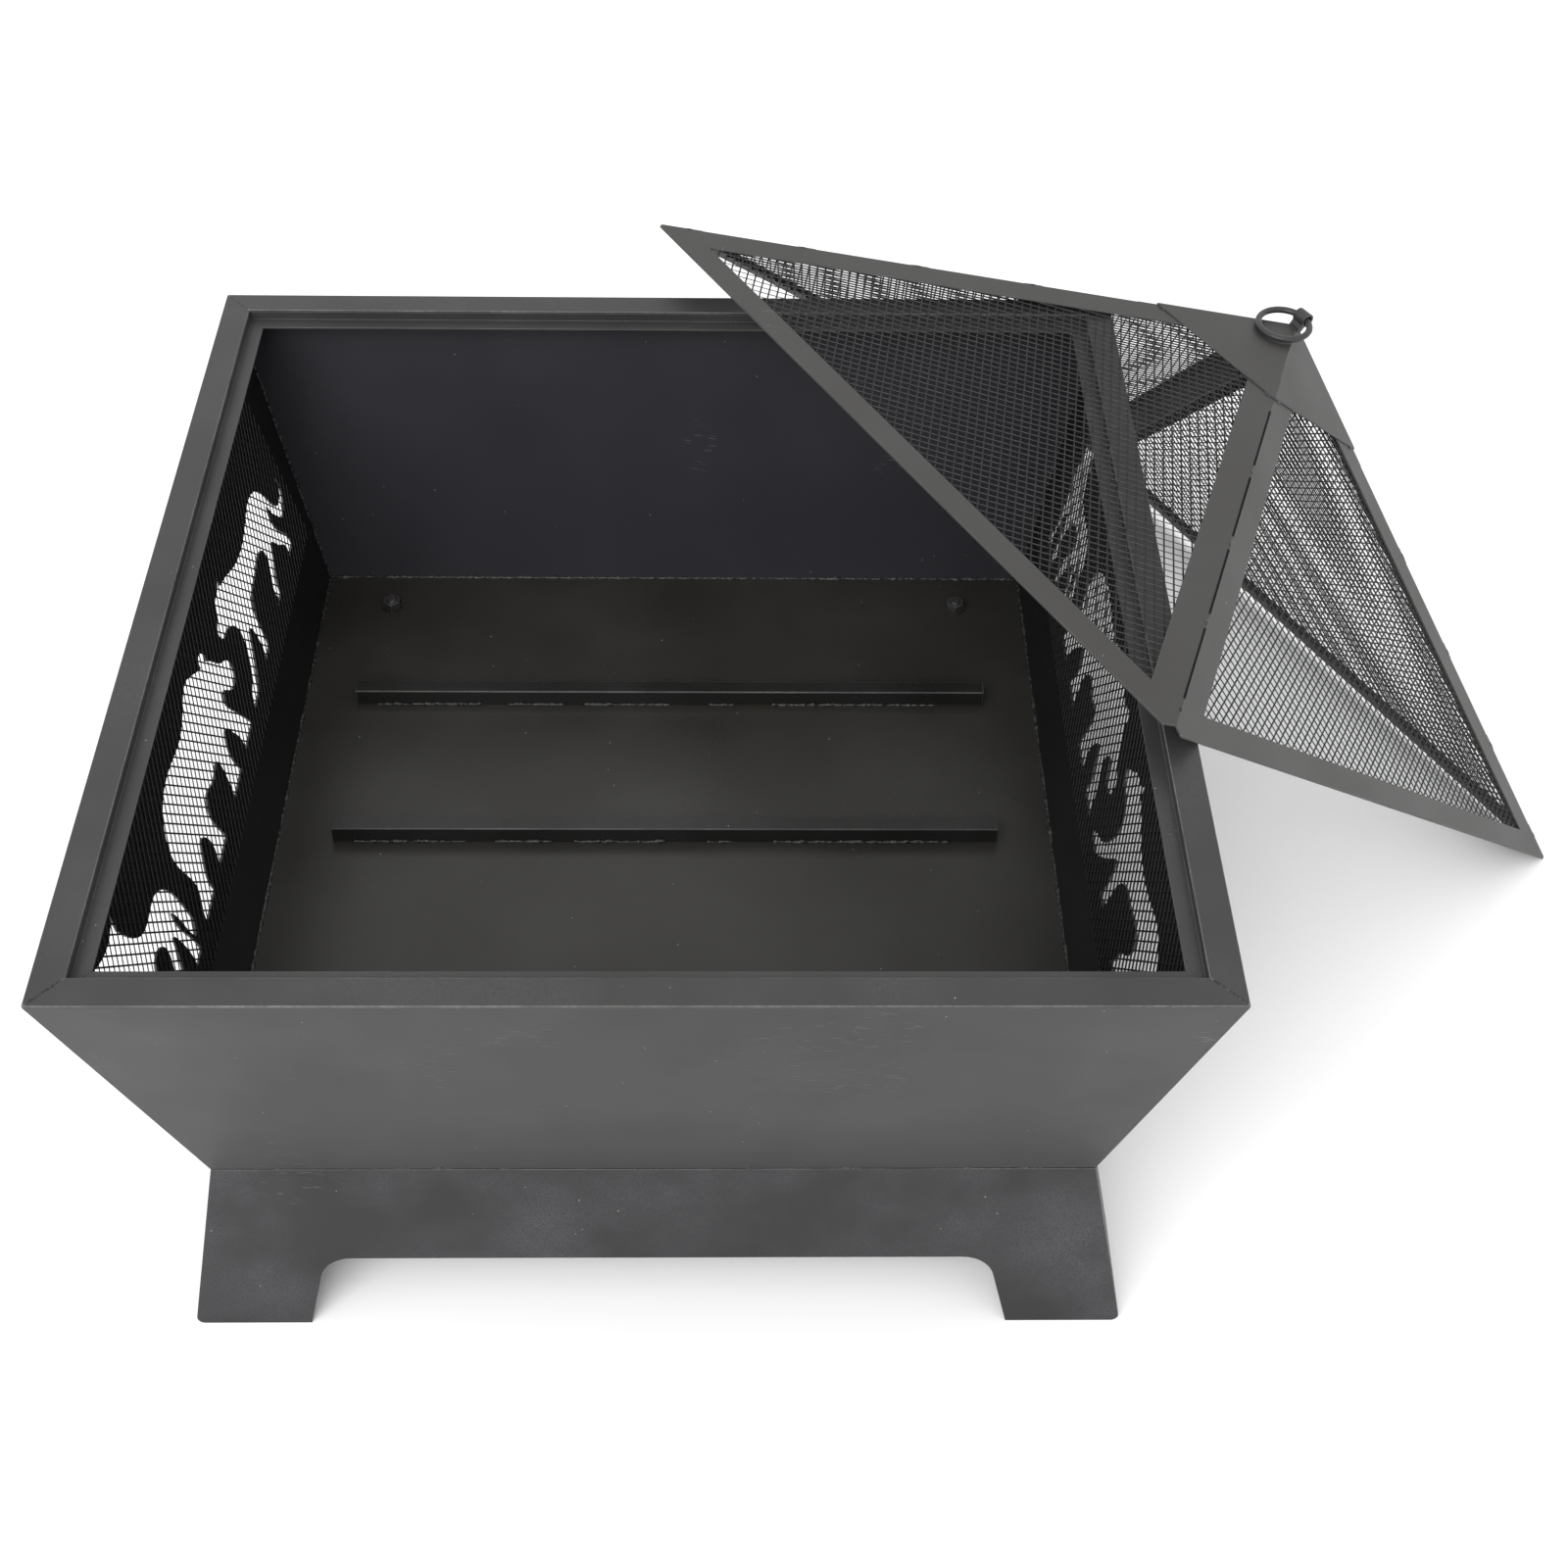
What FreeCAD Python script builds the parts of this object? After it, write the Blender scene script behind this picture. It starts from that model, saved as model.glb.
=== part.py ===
"""Square steel fire pit on a flared base, with pierced side walls lined with mesh, log rails on its
floor, and a pyramid spark screen that leans on the rim. Millimetres; +X right, +Y back, +Z up; the
origin is on the ground under the middle of the pit."""
import FreeCAD, Part
import math
import os
import re
import Sketcher
from FreeCAD import Placement, Rotation, Vector

# ---------------------------------------------------------------- sizes

SIZES = {
    # bowl
    "top_width": 660,       # outside of the rim, across the flats
    "floor_width": 562,     # outside of the bowl at its bottom edge
    "bowl_depth": 235,      # bottom edge of the walls to the underside of the rim
    "wall_sheet": 1.5,
    "floor_sheet": 2,
    "seam_gap": 1,          # open seam between the base and the walls
    # rim and the ledge that the spark screen sits on
    "rim_width": 19.4,
    "rim_sheet": 1.5,
    "ledge_drop": 8,        # top of the rim to the top of the ledge
    "ledge_width": 10.6,
    "ledge_sheet": 1.5,
    # base
    "base_height": 141,
    "base_width": 622,      # across the feet, outside
    "base_sheet": 2,
    "foot_width": 77.5,
    "foot_lean": 15.6,      # how far the inner edge of a foot leans inwards up to the arch
    "arch_rise": 62.5,
    "arch_round": 22,
    "foot_round": 5,
    "deep_flange": 50,      # top flange of the front and back base panels
    "slim_flange": 20,      # top flange of the side base panels
    # bolts through floor and base
    "bolt_inset_side": 55,
    "bolt_inset_end": 35,
    "bolt_size": 8,
    "bolt_slack": 1,
    "hex_across": 13,
    "head_height": 5.3,
    "nut_height": 5,
    "washer_width": 17,
    "washer_sheet": 1.2,
    "bolt_stub": 1.2,       # thread left standing above the nut
    # log rails
    "rail_length": 480,
    "rail_width": 12,
    "rail_height": 13.5,
    "rail_wall": 1.5,
    "rail_pitch": 140,
    # mesh behind the pierced side walls
    "mesh_sheet": 1,
    "mesh_front": 285,      # from the middle of the wall to the mesh's front edge
    "mesh_back": 275,
    "mesh_skirt": 53,       # bare wall left below the mesh
    "mesh_top_gap": 1,
    # animal cut-outs: middle of each along the wall, height of its feet above the wall's lower edge
    "cat_place": -161,
    "cat_length": 202,
    "cat_height": 92,
    "bear_place": 39,
    "bear_length": 196,
    "bear_height": 96,
    "wolf_place": 209,
    "wolf_length": 122,
    "wolf_height": 113,
    "animal_foot": 72,
    # spark screen
    "lid_gap": 2.6,         # clearance inside the rim, all round
    "lid_rise": 215,
    "lid_sheet": 1.2,
    "lid_strip": 18.5,      # bottom strip of a side frame, measured up the slope
    "lid_rib": 22,          # half rib along each hip
    "lid_clip": 3,          # corner clipped off each end of the bottom strip
    "lid_blunt": 10,        # the same at the blunt corner between the front and right sides
    "slot_width": 2,        # open slot between the half ribs of neighbouring sides
    "slot_first": 34,
    "slot_count": 4,        # slots along each hip
    "slot_bridge": 14,      # closed, tack-welded length between two slots
    "hip_lap": 11,          # strip under each hip that backs the slots, each way from the hip
    "hip_sheet": 0.8,
    "hip_start": 12,        # the strip's lower end, up the hip from the corner
    "lid_mesh_lap": 9,
    "cap_slant": 82,        # cap edge to peak, measured up the slope
    "cap_sheet": 1.2,
    "cap_lap": 20,
    "cap_cover": 4,
    # pull ring and its strap
    "ring_width": 43,
    "ring_rod": 4.9,
    "ring_gap": 0.6,
    "eye_bore": 7.4,
    "eye_height": 6.8,      # peak of the cap to the middle of the eye
    "strap_sheet": 1.6,
    "strap_width": 11,
    "strap_foot": 14,
    "strap_slack": 0.1,
    # how the screen leans: turn of its upper edge, roll about its slope, middle in front of the corner
    "lean_turn": -58.1,
    "lean_roll": 1.1,
    "lean_offset": 90,
    "lean_gap": 0.6,
    "ground_gap": 0.4,
}

doc = FreeCAD.newDocument("fire_pit")
sheet = doc.addObject("Spreadsheet::Sheet", "Sizes")
for row, (alias, value) in enumerate(SIZES.items(), start=1):
    sheet.set(f"A{row}", alias)
    sheet.set(f"B{row}", str(value))
    sheet.setAlias(f"B{row}", alias)
doc.recompute()

# ---------------------------------------------------------------- worked-out expressions

WALL_LEAN = "atan((top_width - floor_width) / 2 / bowl_depth)"
WALL_SLANT = "(bowl_depth / cos(" + WALL_LEAN + "))"
WALL_FOOT = "(base_height + seam_gap)"
PIT_HEIGHT = "(" + WALL_FOOT + " + bowl_depth + rim_sheet)"
BASE_LEAN = "atan((base_width - floor_width) / 2 / base_height)"
BASE_SLANT = "(base_height / cos(" + BASE_LEAN + "))"
LEDGE_TOP = "(" + PIT_HEIGHT + " - ledge_drop)"
RIM_HOLE = "(top_width / 2 - rim_width)"
LID_HALF = "(" + RIM_HOLE + " - lid_gap)"
LID_SLOPE = "atan(lid_rise / " + LID_HALF + ")"
LID_SLANT = "(" + LID_HALF + " / cos(" + LID_SLOPE + "))"
LID_HIP = "sqrt(" + LID_SLANT + " ^ 2 + " + LID_HALF + " ^ 2)"
LID_SHEET_UP = "(lid_sheet / cos(" + LID_SLOPE + "))"
CAP_SHEET_UP = "(cap_sheet / cos(" + LID_SLOPE + "))"
CAP_EDGE = "(" + LID_SLANT + " - cap_slant)"
CAP_PEAK = "(lid_rise + " + LID_SHEET_UP + " + " + CAP_SHEET_UP + ")"
RING_RADIUS = "((ring_width - ring_rod) / 2)"
RING_DROOP = (
    "(" + LID_SLOPE + " + asin((eye_height * cos(" + LID_SLOPE + ") - ring_rod / 2 - ring_gap)"
    " / (ring_width - ring_rod)))"
)
SIDES = {"front": 0, "right": 90, "back": 180, "left": 270}

# ---------------------------------------------------------------- helpers

ALIASES = re.compile(r"\b(" + "|".join(SIZES) + r")\b")


def cells(expression):
    """The expression with each alias written as a reference to the sheet."""
    return ALIASES.sub(r"Sizes.\1", str(expression))


def value(expression):
    """The number that the expression gives now."""
    found = sheet.evalExpression(cells(expression))
    return float(getattr(found, "Value", found))


def bind(thing, **expressions):
    """Bind properties of an object to expressions of the sheet's cells."""
    for name, expression in expressions.items():
        thing.setExpression(name, cells(expression))


def place(x=0, y=0, z=0, axis="0; 0; 1", angle="0"):
    """A placement as an expression."""
    return f"placement(vector({x}; {y}; {z}); rotation(vector({axis}); {angle}))"


def new_body(name, where=None):
    """An empty body whose placement is the expression."""
    body = doc.addObject("PartDesign::Body", name)
    body.Label = name
    if where:
        bind(body, Placement=where)
    return body


def new_sketch(body, name, offset=None, plane="XY_Plane"):
    """A sketch on one of the body's own origin planes, moved by an offset expression."""
    sketch = body.newObject("Sketcher::SketchObject", name)
    base = next(item for item in body.Origin.OriginFeatures if item.Role == plane)
    sketch.AttachmentSupport = [(base, "")]
    sketch.MapMode = "FlatFace"
    if offset:
        bind(sketch, AttachmentOffset=offset)
    return sketch


def fix_point(sketch, geometry, end, x, y):
    """Hold a point of the sketch at a pair of expressions."""
    for kind, length in (("DistanceX", x), ("DistanceY", y)):
        number = sketch.addConstraint(Sketcher.Constraint(kind, -1, 1, geometry, end, value(length)))
        sketch.setExpression(f"Constraints[{number}]", cells(length))


def rounding(before, corner, after, radius):
    """Where an arc of the radius touches the two sides of a corner, and its middle."""
    one, two = (before - corner).normalize(), (after - corner).normalize()
    half = one.getAngle(two) / 2
    middle = corner + (one + two).normalize() * (radius / math.sin(half))
    reach = radius / math.tan(half)
    return corner + one * reach, corner + two * reach, middle


def add_outline(sketch, corners, rounds=None):
    """A closed outline of straight lines through corners that are pairs of expressions. rounds maps
    the number of a corner to the expression of its radius."""
    rounds = rounds or {}
    now = [Vector(value(x), value(y), 0) for x, y in corners]
    count = len(now)
    arcs = {i: rounding(now[i - 1], now[i], now[(i + 1) % count], value(rounds[i])) for i in rounds}
    first = sketch.GeometryCount
    for i in range(count):
        start = arcs[i][1] if i in arcs else now[i]
        after = (i + 1) % count
        end = arcs[after][0] if after in arcs else now[after]
        sketch.addGeometry(Part.LineSegment(start, end), False)
    for i, (x, y) in enumerate(corners):
        line, before = first + i, first + (i - 1) % count
        if i not in arcs:
            sketch.addConstraint(Sketcher.Constraint("Coincident", before, 2, line, 1))
            fix_point(sketch, line, 1, x, y)
            continue
        one, two, middle = arcs[i]
        clockwise = (one - middle).cross(two - middle).z < 0
        ends = (two, one) if clockwise else (one, two)
        angles = [math.atan2(point.y - middle.y, point.x - middle.x) for point in ends]
        circle = Part.Circle(middle, Vector(0, 0, 1), value(rounds[i]))
        arc = sketch.addGeometry(Part.ArcOfCircle(circle, *angles), False)
        corner = sketch.addGeometry(Part.Point(now[i]), True)
        fix_point(sketch, corner, 1, x, y)
        sketch.addConstraint(Sketcher.Constraint("PointOnObject", corner, 1, before))
        sketch.addConstraint(Sketcher.Constraint("PointOnObject", corner, 1, line))
        sketch.addConstraint(Sketcher.Constraint("Tangent", before, 2, arc, 2 if clockwise else 1))
        sketch.addConstraint(Sketcher.Constraint("Tangent", line, 1, arc, 1 if clockwise else 2))
        number = sketch.addConstraint(Sketcher.Constraint("Radius", arc, value(rounds[i])))
        sketch.setExpression(f"Constraints[{number}]", cells(rounds[i]))


def add_circle(sketch, x, y, radius):
    """A circle whose middle and radius are expressions."""
    middle = Vector(value(x), value(y), 0)
    circle = sketch.addGeometry(Part.Circle(middle, Vector(0, 0, 1), value(radius)), False)
    fix_point(sketch, circle, 3, x, y)
    number = sketch.addConstraint(Sketcher.Constraint("Radius", circle, value(radius)))
    sketch.setExpression(f"Constraints[{number}]", cells(radius))


def add_animal(sketch, animal, strokes):
    """A closed outline of curves and lines through points given as shares of its length and height."""
    across, up, middle = (value(f"{animal}_{size}") for size in ("length", "height", "place"))
    for stroke in strokes:
        points = [Vector(middle + (x - 1 / 2) * across, value("animal_foot") + y * up, 0) for x, y in stroke]
        if len(points) == 2:
            sketch.addGeometry(Part.LineSegment(*points), False)
        else:
            curve = Part.BSplineCurve()
            curve.interpolate(points)
            sketch.addGeometry(curve, False)


def pad(body, sketch, length, direction=None):
    """A pad of the sketch; with a direction, its sides run that way and length is the sheet's gauge."""
    feature = body.newObject("PartDesign::Pad", "Pad_" + sketch.Name)
    feature.Profile = sketch
    bind(feature, Length=length)
    if direction:
        feature.UseCustomVector = True
        feature.Direction = Vector(*direction)
        feature.AlongSketchNormal = True
    sketch.Visibility = False
    return feature


def pocket(body, sketch):
    """A pocket of the sketch through everything, which has to take some of the solid away."""
    doc.recompute()
    whole = body.Shape.Volume
    feature = body.newObject("PartDesign::Pocket", "Pocket_" + sketch.Name)
    feature.Profile = sketch
    feature.Type = "ThroughAll"
    feature.Midplane = True
    doc.recompute()
    if not body.Shape.Volume < whole:
        raise RuntimeError(f"{feature.Name} cuts nothing")
    return feature


def both(half, height):
    """The two ends of a level line of an outline that is the same on both sides, left end first."""
    return [(f"-({half})", height), (half, height)]


# ---------------------------------------------------------------- animal outlines

# Points are shares of the animal's length, from its left, and height, from its feet.
CAT = [
    [(0.00, 0.52), (0.02, 0.40), (0.07, 0.36), (0.12, 0.46), (0.16, 0.64), (0.22, 0.77), (0.31, 0.82),
     (0.43, 0.77), (0.55, 0.75), (0.66, 0.80), (0.74, 0.87), (0.80, 0.90)],
    [(0.80, 0.90), (0.81, 1.00)],
    [(0.81, 1.00), (0.85, 0.93), (0.90, 0.92), (0.94, 0.84), (0.985, 0.77), (0.97, 0.69), (0.91, 0.66),
     (0.86, 0.60), (0.83, 0.48), (0.85, 0.32), (0.92, 0.14), (1.00, 0.03), (1.00, 0.00)],
    [(1.00, 0.00), (0.92, 0.00)],
    [(0.92, 0.00), (0.86, 0.10), (0.80, 0.24), (0.75, 0.34), (0.73, 0.18), (0.74, 0.04), (0.76, 0.00)],
    [(0.76, 0.00), (0.68, 0.00)],
    [(0.68, 0.00), (0.67, 0.14), (0.66, 0.30), (0.62, 0.42), (0.52, 0.45), (0.42, 0.48), (0.37, 0.42),
     (0.38, 0.28), (0.43, 0.16), (0.44, 0.05), (0.47, 0.00)],
    [(0.47, 0.00), (0.39, 0.00)],
    [(0.39, 0.00), (0.37, 0.12), (0.31, 0.24), (0.27, 0.32), (0.23, 0.22), (0.18, 0.12), (0.17, 0.04),
     (0.19, 0.00)],
    [(0.19, 0.00), (0.11, 0.00)],
    [(0.11, 0.00), (0.12, 0.12), (0.17, 0.26), (0.19, 0.40), (0.17, 0.52)],
    [(0.17, 0.52), (0.14, 0.36), (0.08, 0.25), (0.01, 0.31), (0.00, 0.52)],
]
BEAR = [
    [(0.00, 0.44), (0.01, 0.54), (0.07, 0.62), (0.11, 0.72), (0.15, 0.80)],
    [(0.15, 0.80), (0.15, 0.89), (0.19, 0.92), (0.21, 0.85)],
    [(0.21, 0.85), (0.28, 0.93), (0.36, 1.00), (0.45, 0.95), (0.56, 0.89), (0.70, 0.92), (0.84, 0.91),
     (0.94, 0.79), (0.98, 0.60), (0.96, 0.40), (0.95, 0.20), (1.00, 0.03), (1.00, 0.00)],
    [(1.00, 0.00), (0.86, 0.00)],
    [(0.86, 0.00), (0.86, 0.12), (0.82, 0.24), (0.77, 0.32), (0.73, 0.22), (0.74, 0.06), (0.76, 0.00)],
    [(0.76, 0.00), (0.62, 0.00)],
    [(0.62, 0.00), (0.64, 0.14), (0.64, 0.30), (0.60, 0.38), (0.50, 0.34), (0.43, 0.36), (0.42, 0.18),
     (0.44, 0.00)],
    [(0.44, 0.00), (0.30, 0.00)],
    [(0.30, 0.00), (0.32, 0.12), (0.31, 0.26), (0.27, 0.34), (0.23, 0.24), (0.20, 0.10), (0.21, 0.00)],
    [(0.21, 0.00), (0.07, 0.00)],
    [(0.07, 0.00), (0.10, 0.12), (0.15, 0.30), (0.17, 0.44), (0.15, 0.48), (0.09, 0.39), (0.03, 0.37),
     (0.00, 0.44)],
]
WOLF = [
    [(0.01, 0.16), (0.03, 0.36), (0.09, 0.53), (0.20, 0.62), (0.36, 0.62), (0.48, 0.65), (0.57, 0.76),
     (0.62, 0.88)],
    [(0.62, 0.88), (0.60, 1.00)],
    [(0.60, 1.00), (0.69, 0.94), (0.80, 0.94), (0.95, 1.00)],
    [(0.95, 1.00), (0.98, 0.96)],
    [(0.98, 0.96), (0.88, 0.86), (0.82, 0.76), (0.85, 0.62), (0.82, 0.46), (0.80, 0.28), (0.81, 0.08),
     (0.85, 0.00)],
    [(0.85, 0.00), (0.73, 0.00)],
    [(0.73, 0.00), (0.74, 0.14), (0.72, 0.28), (0.69, 0.36), (0.66, 0.26), (0.65, 0.10), (0.67, 0.00)],
    [(0.67, 0.00), (0.55, 0.00)],
    [(0.55, 0.00), (0.57, 0.16), (0.57, 0.32), (0.52, 0.43), (0.44, 0.45), (0.37, 0.40), (0.38, 0.28),
     (0.44, 0.16), (0.43, 0.06), (0.46, 0.00)],
    [(0.46, 0.00), (0.34, 0.00)],
    [(0.34, 0.00), (0.35, 0.12), (0.29, 0.24), (0.25, 0.32), (0.22, 0.24), (0.20, 0.12), (0.21, 0.00)],
    [(0.21, 0.00), (0.10, 0.00)],
    [(0.10, 0.00), (0.12, 0.14), (0.16, 0.28), (0.15, 0.40)],
    [(0.15, 0.40), (0.12, 0.30), (0.10, 0.16), (0.07, 0.08)],
    [(0.07, 0.08), (0.01, 0.16)],
]
ANIMALS = {"cat": CAT, "bear": BEAR, "wolf": WOLF}

# ---------------------------------------------------------------- bowl


def wall_plane(inwards="0"):
    """The outside face of the front wall, moved inwards; its sketch has X along and Y up the wall."""
    return place(0, f"{inwards} - floor_width / 2", WALL_FOOT, "1; 0; 0", f"90deg + {WALL_LEAN}")


def wall_panel(side, turn):
    """One sloping wall; the side walls stand between the front and back walls, and are pierced."""
    between = f"wall_sheet / cos({WALL_LEAN})" if side in ("left", "right") else "0"
    body = new_body(f"{side}_panel", place(angle=f"{turn}deg"))
    sketch = new_sketch(body, f"{side}_wall_outline", wall_plane())
    foot, head = (f"{width} / 2 - {between}" for width in ("floor_width", "top_width"))
    add_outline(sketch, both(foot, "0") + both(head, WALL_SLANT)[::-1])
    pad(body, sketch, "wall_sheet", direction=(0, 1, 0))
    if side in ("left", "right"):
        for animal, strokes in ANIMALS.items():
            cut = new_sketch(body, f"{side}_{animal}", wall_plane())
            add_animal(cut, animal, strokes)
            pocket(body, cut)
    return body


def side_mesh(side, turn):
    """The mesh behind a pierced wall, as a plain sheet flat on the wall's inner face."""
    left, right = ("mesh_front", "mesh_back") if side == "right" else ("mesh_back", "mesh_front")
    top = f"({LEDGE_TOP} - ledge_sheet - mesh_top_gap - {WALL_FOOT}) / cos({WALL_LEAN})"
    body = new_body(f"{side}_mesh", place(angle=f"{turn}deg"))
    sketch = new_sketch(body, f"{side}_mesh_outline", wall_plane(f"wall_sheet / cos({WALL_LEAN})"))
    add_outline(sketch, [(f"-{left}", "mesh_skirt"), (right, "mesh_skirt"), (right, top), (f"-{left}", top)])
    pad(body, sketch, "mesh_sheet", direction=(0, 1, 0))
    return body


def floor_plate():
    """The bowl's floor, inside the walls, on the base's flanges, with four bolt holes."""
    body = new_body("floor_plate", place(z="base_height"))
    sketch = new_sketch(body, "floor_outline")
    half = f"(floor_width / 2 - wall_sheet / cos({WALL_LEAN}))"
    add_outline(sketch, both(half, f"-{half}") + both(half, half)[::-1])
    for x, y in bolt_places():
        add_circle(sketch, x, y, "(bolt_size + bolt_slack) / 2")
    pad(body, sketch, "floor_sheet")
    return body


def mitred_strip(name, turn, outer, width, z, gauge):
    """A flat strip along the front with 45 degree ends, its outer edge outer from the middle."""
    body = new_body(name, place(z=z, angle=f"{turn}deg"))
    sketch = new_sketch(body, f"{name}_outline")
    inner = f"({outer} - {width})"
    add_outline(sketch, both(outer, f"-{outer}") + both(inner, f"-{inner}")[::-1])
    pad(body, sketch, gauge)
    return body


def rim_strip(side, turn):
    """One mitred side of the rim."""
    z = f"{PIT_HEIGHT} - rim_sheet"
    return mitred_strip(f"rim_{side}", turn, "(top_width / 2)", "rim_width", z, "rim_sheet")


def ledge_angle(side, turn):
    """One mitred angle that hangs under the rim's inner edge and carries the spark screen."""
    outer = f"({RIM_HOLE} + ledge_sheet)"
    shelf = "(ledge_width + ledge_sheet)"
    body = mitred_strip(f"ledge_{side}", turn, outer, shelf, f"{LEDGE_TOP} - ledge_sheet", "ledge_sheet")
    sketch = new_sketch(body, f"ledge_{side}_web")
    add_outline(sketch, both(outer, f"-{outer}") + both(RIM_HOLE, f"-{RIM_HOLE}")[::-1])
    pad(body, sketch, "ledge_drop + ledge_sheet - rim_sheet")
    return body


def log_rail(name, y):
    """A square tube laid along X on the floor."""
    body = new_body(name, place("-rail_length / 2", y, "base_height + floor_sheet"))
    sketch = new_sketch(body, f"{name}_section", place(axis="1; 1; 1", angle="120deg"))
    for inset in ("0", "rail_wall"):
        half = f"(rail_width / 2 - {inset})"
        add_outline(sketch, both(half, inset) + both(half, f"rail_height - {inset}")[::-1])
    pad(body, sketch, "rail_length")
    return body


# ---------------------------------------------------------------- base


def bolt_places():
    """The four bolts, as pairs of expressions from the middle of the floor."""
    x, y = "(floor_width / 2 - bolt_inset_side)", "(floor_width / 2 - bolt_inset_end)"
    return [(f"{sx}{x}", f"{sy}{y}") for sx in ("-", "") for sy in ("-", "")]


def base_panel(side, turn):
    """One flared base panel cut to two feet and an arch, with a flange turned in at its top."""
    deep = side in ("front", "back")
    between = "0" if deep else f"base_sheet / cos({BASE_LEAN})"
    body = new_body(f"base_{side}", place(angle=f"{turn}deg"))
    plane = place(0, "-base_width / 2", 0, "1; 0; 0", f"90deg - {BASE_LEAN}")
    sketch = new_sketch(body, f"base_{side}_outline", plane)
    foot, top = "base_width / 2 - foot_width", "floor_width / 2"
    arch = f"{foot} - foot_lean"
    corners = [(f"-(base_width / 2 - {between})", "0"), (f"-({foot})", "0"), (f"-({arch})", "arch_rise"),
               (arch, "arch_rise"), (foot, "0"), (f"base_width / 2 - {between}", "0"),
               (f"{top} - {between}", BASE_SLANT), (f"-({top} - {between})", BASE_SLANT)]
    rounds = {0: "foot_round", 2: "arch_round", 3: "arch_round", 5: "foot_round"}
    add_outline(sketch, corners, rounds)
    pad(body, sketch, "base_sheet", direction=(0, 1, 0))
    flange = new_sketch(body, f"base_{side}_flange", place(z="base_height - base_sheet"))
    depth = "deep_flange" if deep else "slim_flange"
    inside = f"(floor_width / 2 - base_sheet / cos({BASE_LEAN}))"
    ends = inside if deep else "(floor_width / 2 - deep_flange)"
    add_outline(flange, both(ends, f"-{inside}") + both(ends, f"{depth} - floor_width / 2")[::-1])
    if deep:
        for x, y in bolt_places():
            if y.startswith("-"):
                add_circle(flange, x, y, "(bolt_size + bolt_slack) / 2")
    pad(body, flange, "base_sheet")
    return body


def fasteners():
    """Bolts up through flange and floor, a washer and a nut on each inside the bowl."""
    floor_top = "(base_height + floor_sheet)"
    under = "(base_height - base_sheet)"
    bolts, washers, nuts = [], [], []
    for number, (x, y) in enumerate(bolt_places(), start=1):
        head = doc.addObject("Part::Prism", f"bolt_head_{number}")
        bind(head, Circumradius="hex_across / sqrt(3)", Height="head_height",
             Placement=place(x, y, f"{under} - head_height"))
        shank = doc.addObject("Part::Cylinder", f"bolt_shank_{number}")
        length = "base_sheet + floor_sheet + washer_sheet + nut_height + bolt_stub"
        bind(shank, Radius="bolt_size / 2", Height=length, Placement=place(x, y, under))
        bolt = doc.addObject("Part::Fuse", f"bolt_{number}")
        bolt.Base, bolt.Tool = head, shank
        bolts.append(bolt)
        washers.append(ring_piece(f"washer_{number}", "Part::Cylinder", "Radius", "washer_width / 2",
                                  "washer_sheet", x, y, floor_top))
        nuts.append(ring_piece(f"nut_{number}", "Part::Prism", "Circumradius", "hex_across / sqrt(3)",
                               "nut_height", x, y, f"{floor_top} + washer_sheet"))
    groups = []
    for name, pieces in (("floor_bolts", bolts), ("floor_washers", washers), ("floor_nuts", nuts)):
        group = doc.addObject("Part::Compound", name)
        group.Links = pieces
        groups.append(group)
    return groups


def ring_piece(name, kind, size_name, size, height, x, y, z):
    """A cylinder or hexagon with a bolt's hole down its middle."""
    outer = doc.addObject(kind, f"{name}_blank")
    bind(outer, **{size_name: size, "Height": height, "Placement": place(x, y, z)})
    hole = doc.addObject("Part::Cylinder", f"{name}_hole")
    bind(hole, Radius="bolt_size / 2", Height=height, Placement=place(x, y, z))
    piece = doc.addObject("Part::Cut", name)
    piece.Base, piece.Tool = outer, hole
    return piece


# ---------------------------------------------------------------- spark screen

TILTS = range(5, 85)    # degrees in which the leaning screen's tilt is looked for
HALVINGS = 40           # steps that narrow the tilt down
RIM_SPOTS = 200         # places along each edge of the rim where room under the screen is measured


def rim_edges():
    """Points along the outer and inner top edges of the rim."""
    height = value(PIT_HEIGHT)
    for half in (value("top_width / 2"), value(RIM_HOLE)):
        corners = [Vector(x * half, y * half, height) for x, y in ((-1, -1), (1, -1), (1, 1), (-1, 1))]
        for i, corner in enumerate(corners):
            for spot in range(RIM_SPOTS):
                yield corners[i - 1] + (corner - corners[i - 1]) * (spot / RIM_SPOTS)


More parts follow.
